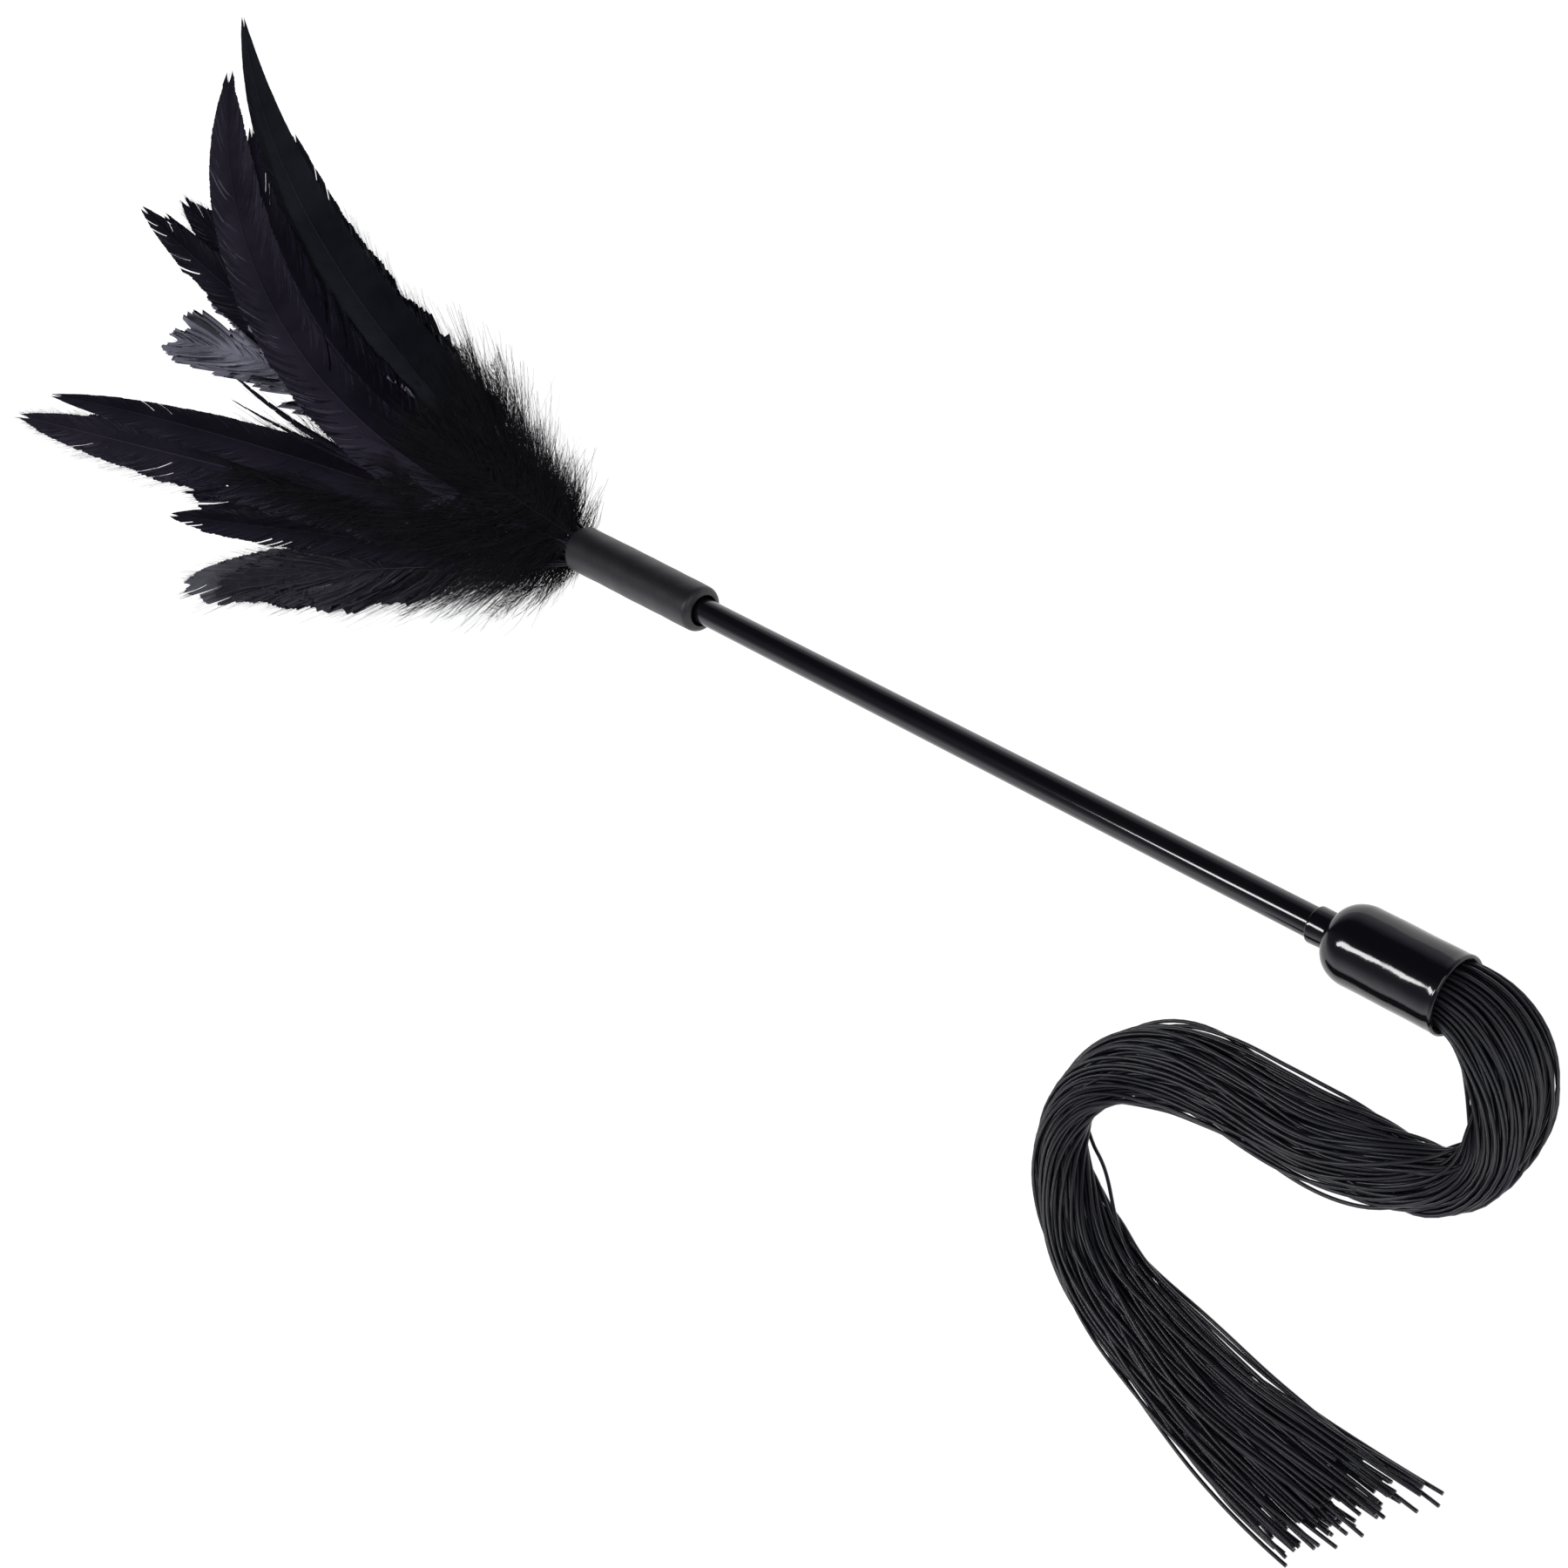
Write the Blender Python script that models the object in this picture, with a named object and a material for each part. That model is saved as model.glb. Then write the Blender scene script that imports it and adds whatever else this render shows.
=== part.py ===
"""Feather duster: a round rod with a feather bouquet at one end and a strand tassel at the other.

The wand lies on a level surface. While the pieces are made, X = 0 is the cap's mouth, +X points out of the
mouth, Y = 0 is the rod's axis and Z = 0 is the surface. At the end everything moves, so that the origin is
at the middle of the wand's footprint (the strands, which lie free, don't count). Lengths are in metres.
"""
import math

import bmesh
import bpy
from mathutils import Vector

# ---- driving dimensions ----
ROD_RADIUS = 0.0040
CAP_RADIUS = 0.0102
CAP_WALL = 0.0014
CAP_BODY = 0.0262            # straight part of the cap, back from its mouth
CAP_SHOULDER = 0.0075
CAP_NECK = 0.0059
NECK_RADIUS = 0.0048
SHAFT_SPAN = 0.3257          # cap mouth to the sleeve's feather end
SLEEVE_LENGTH = 0.0593
SLEEVE_RADIUS = 0.00745      # at the feather end
SLEEVE_TAPER = 0.0003        # how much slimmer it is at the rod end
SLEEVE_WALL = 0.00075
FIT_GAP = 0.0003             # clearance between glued or pressed pieces
AXIS_HEIGHT = CAP_RADIUS     # the cap rests on the surface
ROUND_STEPS = 40

# ---- places along the rod ----
SLEEVE_FAR = -SHAFT_SPAN
SLEEVE_NEAR = SLEEVE_FAR + SLEEVE_LENGTH
ROD_FEATHER_END = SLEEVE_FAR + 0.0247
ROD_TASSEL_END = -CAP_BODY - 0.0001
QUILL_DEPTH = 0.0190         # how far the quills reach into the sleeve
QUILL_CIRCLE = 0.0053        # the quills stand inside this radius

# ---- feathers ----
LAYERS = 22                  # each feather lies on its own layer, so that none cuts through another
LAYER_STACK = 0.0096         # height of all the layers at the sleeve
FEATHER_STATIONS = 18
QUILL_HALF_WIDTH = 0.0003
BLADE_HALF_THICKNESS = 0.00016

# ---- strands ----
LOCK_RADIUS = 0.0016
LOCK_PITCH = 0.00375         # between locks side by side
ROW_PITCH = 0.00325          # between rows of locks
LOCK_STEP = 0.0088           # between the points of a lock's curve
LOWEST_ROW = 0.0020          # height of the bottom row's centres where the strands lie on the surface


def material(name, color, roughness, metallic=0.0):
    finish = bpy.data.materials.new(name)
    finish.use_nodes = True
    shader = finish.node_tree.nodes["Principled BSDF"]
    shader.inputs["Base Color"].default_value = (*color, 1.0)
    shader.inputs["Roughness"].default_value = roughness
    shader.inputs["Metallic"].default_value = metallic
    return finish


def add_object(name, data, finish, root):
    piece = bpy.data.objects.new(name, data)
    data.materials.append(finish)
    bpy.context.scene.collection.objects.link(piece)
    piece.parent = root
    return piece


def mesh_from(name, points, faces, smooth=True):
    mesh = bpy.data.meshes.new(name)
    mesh.from_pydata(points, [], faces)
    shape = bmesh.new()
    shape.from_mesh(mesh)
    bmesh.ops.recalc_face_normals(shape, faces=shape.faces)
    shape.to_mesh(mesh)
    shape.free()
    if smooth:
        mesh.shade_smooth()
        mesh.set_sharp_from_angle(angle=math.radians(40))
    return mesh


# ---- turned pieces: a profile of (x, radius) points spun about the rod's axis ----
def turned(name, profile, finish, root, hollow):
    """A hollow piece's profile is a closed loop; a solid one runs from end to end and gets two flat ends."""
    points = []
    for x, radius in profile:
        for step in range(ROUND_STEPS):
            angle = 2 * math.pi * step / ROUND_STEPS
            points.append((x, radius * math.sin(angle), AXIS_HEIGHT + radius * math.cos(angle)))
    rings = len(profile)
    faces = []
    for ring in range(rings if hollow else rings - 1):
        first = ring * ROUND_STEPS
        second = (ring + 1) % rings * ROUND_STEPS
        for step in range(ROUND_STEPS):
            after = (step + 1) % ROUND_STEPS
            faces.append((first + step, first + after, second + after, second + step))
    if not hollow:
        faces.append(tuple(range(ROUND_STEPS)))
        faces.append(tuple(range((rings - 1) * ROUND_STEPS, rings * ROUND_STEPS)))
    return add_object(name, mesh_from(name, points, faces), finish, root)


def arc(center_x, center_radius, size_x, size_radius, start, end, steps):
    """Points on a quarter-round, from the start angle to the end angle in degrees; 0 is +X, 90 is outwards."""
    points = []
    for step in range(steps + 1):
        angle = math.radians(start + (end - start) * step / steps)
        points.append((center_x + size_x * math.cos(angle), center_radius + size_radius * math.sin(angle)))
    return points


def make_rod(finish, root):
    edge = 0.0004
    profile = [(ROD_FEATHER_END, ROD_RADIUS - edge), (ROD_FEATHER_END + edge, ROD_RADIUS),
               (ROD_TASSEL_END - edge, ROD_RADIUS), (ROD_TASSEL_END, ROD_RADIUS - edge)]
    turned("rod", profile, finish, root, hollow=False)


def make_cap(finish, root):
    """Bell-shaped cap: a short neck that grips the rod, a round shoulder and a straight body."""
    body_back = -CAP_BODY
    neck_front = body_back - CAP_SHOULDER
    neck_back = neck_front - CAP_NECK
    neck_bore = ROD_RADIUS + 0.00025
    shoulder_rise = CAP_RADIUS - NECK_RADIUS
    bore = CAP_RADIUS - CAP_WALL
    lip = 0.0004
    outside = [(neck_back, NECK_RADIUS - lip), (neck_back + lip, NECK_RADIUS), (neck_front, NECK_RADIUS)]
    outside += arc(body_back, NECK_RADIUS, CAP_SHOULDER, shoulder_rise, 170, 90, 6)
    outside += [(-lip, CAP_RADIUS), (0.0, CAP_RADIUS - lip / 2)]
    inside = [(0.0, bore + lip / 2), (-lip, bore)]
    inside += arc(body_back, neck_bore, CAP_SHOULDER - CAP_WALL, bore - neck_bore, 90, 170, 5)
    inside += [(neck_front, neck_bore), (neck_back, neck_bore)]
    turned("tassel_cap", outside + inside, finish, root, hollow=True)


def make_sleeve(finish, root):
    """Rubber sleeve, cut square at the feathers and drawn in round the rod at its other end."""
    near_radius = SLEEVE_RADIUS - SLEEVE_TAPER
    draw = 0.0020
    outside = [(SLEEVE_FAR, SLEEVE_RADIUS - 0.0002), (SLEEVE_FAR + 0.0003, SLEEVE_RADIUS)]
    outside += arc(SLEEVE_NEAR - draw, near_radius - draw, draw, draw, 90, 15, 5)
    inside = arc(SLEEVE_NEAR - draw, near_radius - draw, draw - SLEEVE_WALL, draw - SLEEVE_WALL, 15, 90, 4)
    inside.append((SLEEVE_FAR, SLEEVE_RADIUS - SLEEVE_WALL))
    turned("grip_sleeve", outside + inside, finish, root, hollow=True)


def tube(name, start, end, inner, outer, finish, root):
    profile = [(start, outer), (end, outer), (end, inner), (start, inner)]
    turned(name, profile, finish, root, hollow=True)


def plug(name, start, end, radius, finish, root):
    crown = 0.0006
    profile = [(start, radius - crown), (start + crown, radius), (end - crown, radius), (end, radius - crown)]
    turned(name, profile, finish, root, hollow=False)


def make_sleeve_fittings(wood, glue, thread, root):
    """What the sleeve hides: a bush that centres the rod, a glue plug behind the quills, a thread binding."""
    tube("rod_bush", ROD_FEATHER_END + 0.0010, SLEEVE_NEAR - 0.0060, ROD_RADIUS + 0.00025,
         SLEEVE_RADIUS - SLEEVE_TAPER - SLEEVE_WALL - FIT_GAP, wood, root)
    quill_root = SLEEVE_FAR + QUILL_DEPTH
    plug("quill_glue_plug", quill_root + FIT_GAP, ROD_FEATHER_END - FIT_GAP, 0.0058, glue, root)
    tube("quill_binding", quill_root - 0.0120, quill_root - 0.0040, 0.0059, 0.0063, thread, root)


def make_cap_fittings(glue, thread, root):
    """What the cap hides: the glue plug that holds the strands' roots and the ring that binds them."""
    plug("strand_glue_plug", ROD_TASSEL_END + FIT_GAP, STRAND_ROUTE[0][0] - FIT_GAP, 0.0084, glue, root)
    tube("strand_binding", -0.0160, -0.0125, 0.0076, 0.0085, thread, root)


# ---- feathers ----
# name: (reach beyond the sleeve, tip's side offset, layer, half width, side offset of the bend, quill's offset)
# Sides are +Y or -Y of the rod's axis, in millimetres; layer 0 is the lowest.
FEATHERS = {
    "down_under_tail": (40, -24, 0, 9, -12, -0.6),
    "low_fringe_plume": (150, -66, 1, 11, -36, -3.0),
    "down_under_side": (83, -38, 2, 11, -20, -1.4),
    "lowest_plume": (163, -73, 3, 11, -37, -3.2),
    "low_inner_plume": (92, 33, 4, 11, 16, 2.4),
    "rounded_plume": (146, -64, 5, 12, -40, -4.4),
    "left_fill_plume": (195, -47, 6, 11, -28, -2.8),
    "down_low_inner": (43, 17, 7, 9, 9, 3.2),
    "spike_plume": (189, -58, 8, 7, -38, -4.2),
    "inner_fill_plume": (137, 46, 9, 12, 24, 4.4),
    "long_left_plume": (296, -55, 10, 12, -36, -1.6),
    "down_middle": (151, -23, 11, 15, -12, -3.2),
    "forked_left_plume": (274, -42, 12, 9, -20, -2.0),
    "inner_edge_plume": (183, 66, 13, 10, 28, 3.8),
    "pale_plume": (252, 46, 14, 9, 20, 2.4),
    "curled_satin_plume": (212, -3, 15, 10, 16, -0.8),
    "paired_plume": (263, 36, 16, 11, 14, 0.4),
    "down_inner_edge": (82, 33, 17, 11, 13, 3.6),
    "top_plume": (272, 119, 18, 13, 36, 1.6),
    "down_top_left": (75, -13, 19, 14, -6, -2.4),
    "banded_plume": (249, 97, 20, 11.5, -18, -0.6),
    "down_top": (74, 14, 21, 12, 5, 2.0),
}
MM = 0.001


def layer_height(beyond, side, layer):
    """Height of a layer: the lowest settles on the surface, the highest rises and then arches over."""
    share = layer / (LAYERS - 1)
    lowest = 0.0007 + 0.0047 * math.exp(-max(beyond, 0.0) / 0.045)
    highest = 0.0150 + 0.31 * max(beyond, 0.0) - 0.47 * max(beyond, 0.0) ** 2
    dome = 1 - 0.12 * (side / 0.1) ** 2
    return lowest + share * (highest - lowest) * dome


def smooth_step(low, high, value):
    share = min(max((value - low) / (high - low), 0.0), 1.0)
    return share * share * (3 - 2 * share)


def shaft_point(share, reach, side, bend, quill):
    """Point on the feather's shaft, seen from above, where share runs from 0 at the sleeve to 1 at the tip."""
    if share < 0:
        return Vector((share * QUILL_DEPTH, quill))
    start, middle, tip = Vector((0.0, quill)), Vector((0.6 * reach, bend)), Vector((reach, side))
    return (1 - share) ** 2 * start + 2 * share * (1 - share) * middle + share ** 2 * tip


def blade_half_width(share, reach, half_width):
    """Bare quill near the sleeve, widest past the middle, then a long taper to a narrow tip."""
    beyond = share * reach
    opening = smooth_step(0.010, min(0.060, 0.5 * reach), beyond)
    taper = max(1 - max(share, 0.0) ** 3, 0.0) ** 0.8
    return QUILL_HALF_WIDTH + (half_width - QUILL_HALF_WIDTH) * opening * taper


def feather_blade(name, numbers, finish, root):
    """Closed thin blade whose section is a flat diamond: left edge, top, right edge, bottom."""
    reach, side, layer, half_width, bend, quill = numbers
    reach, side, half_width, bend, quill = (value * MM for value in (reach, side, half_width, bend, quill))
    points = []
    for station in range(FEATHER_STATIONS):
        share = -1.0 + station / 2 if station < 2 else (station - 2) / (FEATHER_STATIONS - 3)
        share = min(share, 0.995)
        here = shaft_point(share, reach, side, bend, quill)
        ahead = shaft_point(share + 0.005, reach, side, bend, quill)
        along = (ahead - here).normalized()
        across = Vector((-along.y, along.x)) * blade_half_width(share, reach, half_width)
        for spread, lift in ((1, 0), (0, 1), (-1, 0), (0, -1)):
            beyond, offset = here + across * spread
            height = layer_height(beyond, offset, layer) + lift * BLADE_HALF_THICKNESS
            points.append((SLEEVE_FAR - beyond, offset, height))
    faces = [(0, 1, 2, 3)]
    for station in range(FEATHER_STATIONS - 1):
        first = station * 4
        for corner in range(4):
            after = (corner + 1) % 4
            faces.append((first + corner, first + after, first + 4 + after, first + 4 + corner))
    last = (FEATHER_STATIONS - 1) * 4
    faces.append((last, last + 1, last + 2, last + 3))
    return add_object(name, mesh_from(name, points, faces, smooth=False), finish, root)


# ---- strands: locks of about eleven strands each, bundled in three rows that fan out flat at their ends ----
# The middle of the bundle, seen from above, from its root in the cap to its end. Hand-picked points.
STRAND_ROUTE = (
    (-0.0200, 0.0000), (-0.0080, 0.0000), (0.0015, -0.0001), (0.0088, -0.0022), (0.0155, -0.0072),
    (0.0205, -0.0145), (0.0228, -0.0235), (0.0217, -0.0320), (0.0160, -0.0380), (0.0060, -0.0408),
    (-0.0060, -0.0420), (-0.0170, -0.0427), (-0.0300, -0.0428), (-0.0440, -0.0435), (-0.0580, -0.0465),
    (-0.0700, -0.0540), (-0.0760, -0.0650), (-0.0735, -0.0775), (-0.0640, -0.0880), (-0.0520, -0.0960),
    (-0.0380, -0.1015), (-0.0200, -0.1060), (-0.0020, -0.1095), (0.0160, -0.1120), (0.0330, -0.1140),
    (0.0500, -0.1155),
)
# row (0 is the lowest), place in the row in pitches, place in the fan from -1 to 1, length left off the end
LOCKS = (
    (1, -1.5, -1.00, 0.0270), (0, -1.0, -0.78, 0.0220), (2, -1.0, -0.56, 0.0225), (1, -0.5, -0.33, 0.0160),
    (0, 0.0, -0.11, 0.0165), (2, 0.0, 0.11, 0.0105), (1, 0.5, 0.33, 0.0105), (0, 1.0, 0.56, 0.0045),
    (2, 1.0, 0.78, 0.0050), (1, 1.5, 1.00, 0.0000),
)
BUNDLE_SPREAD = 1.5          # how much wider the bundle gets once it is out of the cap
FAN_HALF_WIDTH = 0.0190
MOUTH_AT = 0.020             # distance along the route to the cap's mouth
SETTLED_AT = 0.060           # from here the bundle lies on the surface
FAN_STARTS = 0.170


def smooth_route(control, step):
    """Points about a step apart on a Catmull-Rom curve through the control points."""
    nodes = [Vector(point) for point in control]
    nodes = [2 * nodes[0] - nodes[1]] + nodes + [2 * nodes[-1] - nodes[-2]]
    fine = []
    for index in range(1, len(nodes) - 2):
        before, start, end, after = nodes[index - 1:index + 3]
        for part in range(12):
            t = part / 12
            fine.append(0.5 * (2 * start + (end - before) * t + (2 * before - 5 * start + 4 * end - after) * t ** 2
                               + (3 * start - before - 3 * end + after) * t ** 3))
    fine.append(nodes[-2])
    travelled = [0.0]
    for index in range(1, len(fine)):
        travelled.append(travelled[-1] + (fine[index] - fine[index - 1]).length)
    count = round(travelled[-1] / step)
    route = []
    index = 0
    for number in range(count + 1):
        wanted = travelled[-1] * number / count
        while index < len(fine) - 2 and travelled[index + 1] < wanted:
            index += 1
        share = (wanted - travelled[index]) / (travelled[index + 1] - travelled[index])
        route.append(fine[index].lerp(fine[index + 1], share))
    return route, travelled[-1]


def lock_offsets(distance, length, row, place, fan):
    """Side offset and height of a lock's centre at a distance along the bundle."""
    opening = smooth_step(MOUTH_AT, SETTLED_AT, distance)
    fanning = smooth_step(FAN_STARTS, length, distance)
    flattening = smooth_step(FAN_STARTS + 0.030, length, distance)
    side = place * LOCK_PITCH * (1 + (BUNDLE_SPREAD - 1) * opening)
    side += (fan * FAN_HALF_WIDTH - side) * fanning
    in_cap = AXIS_HEIGHT + (row - 1) * ROW_PITCH
    settled = LOWEST_ROW + row * ROW_PITCH * (1 - flattening)
    return side, in_cap + (settled - in_cap) * opening


def strand_lock(number, lock, finish, root):
    row, place, fan, shorter = lock
    route, length = smooth_route(STRAND_ROUTE, LOCK_STEP)
    kept = []
    for index, here in enumerate(route):
        distance = length * index / (len(route) - 1)
        if distance > length - shorter + 0.0001:
            continue
        before = route[max(index - 1, 0)]
        ahead = route[min(index + 1, len(route) - 1)]
        along = (ahead - before).normalized()
        side, height = lock_offsets(distance, length, row, place, fan)
        spot = here + Vector((-along.y, along.x)) * side
        kept.append((spot.x, spot.y, height))
    name = f"strand_lock_{number:02d}"
    path = bpy.data.curves.new(name, "CURVE")
    path.dimensions = "3D"
    path.bevel_depth = LOCK_RADIUS
    path.bevel_resolution = 2
    path.render_resolution_u = 0
    path.use_fill_caps = True
    spline = path.splines.new("POLY")
    spline.points.add(len(kept) - 1)
    for point, spot in zip(spline.points, kept):
        point.co = (*spot, 1.0)
    return add_object(name, path, finish, root)


def seat_on_origin(root, cords):
    """Moves the whole wand, so that the origin is at the middle of its footprint, on the surface."""
    bpy.context.view_layer.update()
    corners = []
    for piece in root.children:
        if piece not in cords:
            corners += [piece.matrix_world @ Vector(corner) for corner in piece.bound_box]
    low = Vector(min(corner[axis] for corner in corners) for axis in range(3))
    high = Vector(max(corner[axis] for corner in corners) for axis in range(3))
    root.location = (-(low.x + high.x) / 2, -(low.y + high.y) / 2, -low.z)


def main():
    for piece in list(bpy.data.objects):
        bpy.data.objects.remove(piece, do_unlink=True)
    root = bpy.data.objects.new("wand_frame", None)
    bpy.context.scene.collection.objects.link(root)

    gloss_black = material("gloss_black", (0.008, 0.008, 0.009), 0.18)
    vinyl_black = material("vinyl_black", (0.007, 0.007, 0.008), 0.22)
    sleeve_rubber = material("sleeve_rubber", (0.022, 0.021, 0.024), 0.70)
    strand_rubber = material("strand_rubber", (0.014, 0.014, 0.019), 0.45)
    feather_black = material("feather_black", (0.008, 0.007, 0.010), 0.55)
    down_black = material("down_black", (0.006, 0.006, 0.007), 0.90)
    bush_plastic = material("bush_plastic", (0.030, 0.030, 0.030), 0.60)
    hot_glue = material("hot_glue", (0.55, 0.50, 0.38), 0.40)
    binding_thread = material("binding_thread", (0.020, 0.020, 0.020), 0.85)

    make_rod(gloss_black, root)
    make_cap(vinyl_black, root)
    make_sleeve(sleeve_rubber, root)
    make_sleeve_fittings(bush_plastic, hot_glue, binding_thread, root)
    make_cap_fittings(hot_glue, binding_thread, root)
    for name, numbers in FEATHERS.items():
        feather_blade(name, numbers, down_black if name.startswith("down") else feather_black, root)
    cords = [strand_lock(number, lock, strand_rubber, root) for number, lock in enumerate(LOCKS, 1)]
    seat_on_origin(root, cords)


main()
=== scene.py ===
"""Looks of the feather duster: gloss rod and cap, rubber sleeve, rubber strands and black feathers.

Everything is in metres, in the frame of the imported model. WAND below is a frame of its own, in which the
places are easier to read: x is 0 at the cap's mouth and grows out of it, y is 0 on the rod's axis.
"""
import math

import bpy
import numpy as np
from mathutils import Matrix, Vector


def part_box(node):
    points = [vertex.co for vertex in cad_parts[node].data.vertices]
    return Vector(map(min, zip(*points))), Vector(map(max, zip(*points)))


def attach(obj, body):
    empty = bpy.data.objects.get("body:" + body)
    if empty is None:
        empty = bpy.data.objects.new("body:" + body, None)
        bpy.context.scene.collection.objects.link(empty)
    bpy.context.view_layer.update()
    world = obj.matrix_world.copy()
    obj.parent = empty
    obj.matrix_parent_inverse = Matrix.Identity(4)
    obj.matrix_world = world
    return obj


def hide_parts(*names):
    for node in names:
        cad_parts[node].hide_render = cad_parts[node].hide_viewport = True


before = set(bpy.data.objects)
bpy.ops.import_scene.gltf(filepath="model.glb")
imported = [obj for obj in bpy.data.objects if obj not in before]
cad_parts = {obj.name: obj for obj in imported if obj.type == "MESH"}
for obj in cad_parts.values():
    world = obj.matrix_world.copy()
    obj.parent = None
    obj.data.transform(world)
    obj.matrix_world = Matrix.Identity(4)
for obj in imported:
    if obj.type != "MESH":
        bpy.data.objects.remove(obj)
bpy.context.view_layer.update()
MM = 0.001

# ---- the wand's own frame, from the CAD boxes ----
cap_low, cap_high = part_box("tassel_cap")
sleeve_low, sleeve_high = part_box("grip_sleeve")
MOUTH_X = cap_high[0]
AXIS_Y = (cap_low[1] + cap_high[1]) / 2
AXIS_Z = (cap_low[2] + cap_high[2]) / 2
CAP_RADIUS = (cap_high[2] - cap_low[2]) / 2
SLEEVE_FAR = sleeve_low[0] - MOUTH_X
SLEEVE_NEAR = sleeve_high[0] - MOUTH_X
SLEEVE_RADIUS = (sleeve_high[2] - sleeve_low[2]) / 2
ORIGIN = np.array([MOUTH_X, AXIS_Y, 0.0])


# ---- camera ----
def make_camera():
    """It looks down at the wand from beyond the cap, turned so that the rod runs across the picture."""
    eye = Vector(ORIGIN) + Vector((0.2345, -0.0332, 0.5221))
    look = Vector((-0.65181, 0.0, -0.75838)).normalized()
    turn = math.radians(60.47)
    level = look.cross(Vector((0, 0, 1))).normalized()
    upright = level.cross(look)
    up = math.cos(turn) * upright + math.sin(turn) * level
    right = look.cross(up)
    data = bpy.data.cameras.new("camera")
    data.sensor_width = 36.0
    data.lens = 55.0
    data.clip_start = 0.01
    camera = bpy.data.objects.new("camera", data)
    bpy.context.scene.collection.objects.link(camera)
    camera.matrix_world = Matrix((
        (right.x, up.x, -look.x, eye.x), (right.y, up.y, -look.y, eye.y),
        (right.z, up.z, -look.z, eye.z), (0, 0, 0, 1)))
    bpy.context.scene.camera = camera


# ---- stage and light ----
def area_light(name, place, target, size, power):
    data = bpy.data.lights.new(name, "AREA")
    data.shape = "RECTANGLE"
    data.size, data.size_y = size
    data.energy = power
    light = bpy.data.objects.new(name, data)
    light.location = place
    light.rotation_euler = (Vector(target) - Vector(place)).to_track_quat("-Z", "Y").to_euler()
    bpy.context.scene.collection.objects.link(light)


# Level of the studio's light by the direction it comes from, in degrees about the rod: 0 is overhead and
# 90 is +Y.
STUDIO_LEVELS = (
    (-105, 1.0), (-90, 0.80), (-78, 0.60), (-67, 0.38), (-55, 0.17), (-45, 0.11), (-24, 0.10), (0, 0.04),
    (10, 0.022), (50, 0.022), (62, 0.14), (75, 0.265), (90, 0.33), (105, 0.41), (125, 0.48),
)


def make_studio_world():
    """White low down and dark overhead, the dark leaning to one side: grey edges on anything glossy."""
    world = bpy.data.worlds.new("studio")
    bpy.context.scene.world = world
    world.use_nodes = True
    tree = world.node_tree
    split = tree.nodes.new("ShaderNodeSeparateXYZ")
    tree.links.new(tree.nodes.new("ShaderNodeTexCoord").outputs["Generated"], split.inputs["Vector"])
    angle = tree.nodes.new("ShaderNodeMath")
    angle.operation = "ARCTAN2"
    tree.links.new(split.outputs["Y"], angle.inputs[0])
    tree.links.new(split.outputs["Z"], angle.inputs[1])
    share = tree.nodes.new("ShaderNodeMapRange")
    share.inputs["From Min"].default_value = -math.pi
    share.inputs["From Max"].default_value = math.pi
    tree.links.new(angle.outputs["Value"], share.inputs["Value"])
    ramp = tree.nodes.new("ShaderNodeValToRGB")
    while len(ramp.color_ramp.elements) < len(STUDIO_LEVELS):
        ramp.color_ramp.elements.new(0.5)
    for element, (degrees, level) in zip(ramp.color_ramp.elements, STUDIO_LEVELS):
        element.position = degrees / 360 + 0.5
        tint = 0.80 + 0.18 * level
        element.color = (tint * level, tint * level, level, 1)
    tree.links.new(share.outputs["Result"], ramp.inputs["Fac"])
    tree.links.new(ramp.outputs["Color"], tree.nodes["Background"].inputs["Color"])
    tree.nodes["Background"].inputs["Strength"].default_value = 2.0


def make_stage():
    bpy.context.scene.view_settings.view_transform = "Standard"
    make_studio_world()
    size = 3.0
    mesh = bpy.data.meshes.new("floor")
    corners = [(-size, -size, 0), (size, -size, 0), (size, size, 0), (-size, size, 0)]
    mesh.from_pydata(corners, [], [(0, 1, 2, 3)])
    floor = bpy.data.objects.new("floor", mesh)
    bpy.context.scene.collection.objects.link(floor)
    finish = bpy.data.materials.new("floor_paper")
    finish.use_nodes = True
    shader = finish.node_tree.nodes["Principled BSDF"]
    shader.inputs["Base Color"].default_value = (0.30, 0.30, 0.30, 1)
    shader.inputs["Roughness"].default_value = 0.9
    shader.inputs["Specular IOR Level"].default_value = 0.0
    shader.inputs["Emission Color"].default_value = (1, 1, 1, 1)
    shader.inputs["Emission Strength"].default_value = 0.95
    mesh.materials.append(finish)
    area_light("front", (0.9, 0.1, 1.1), (0, 0, 0), (0.9, 0.9), 5)
    area_light("strip", (-0.215, -0.355, 0.85), (0.27, -0.02, 0.01), (0.14, 0.29), 2.5)


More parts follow.
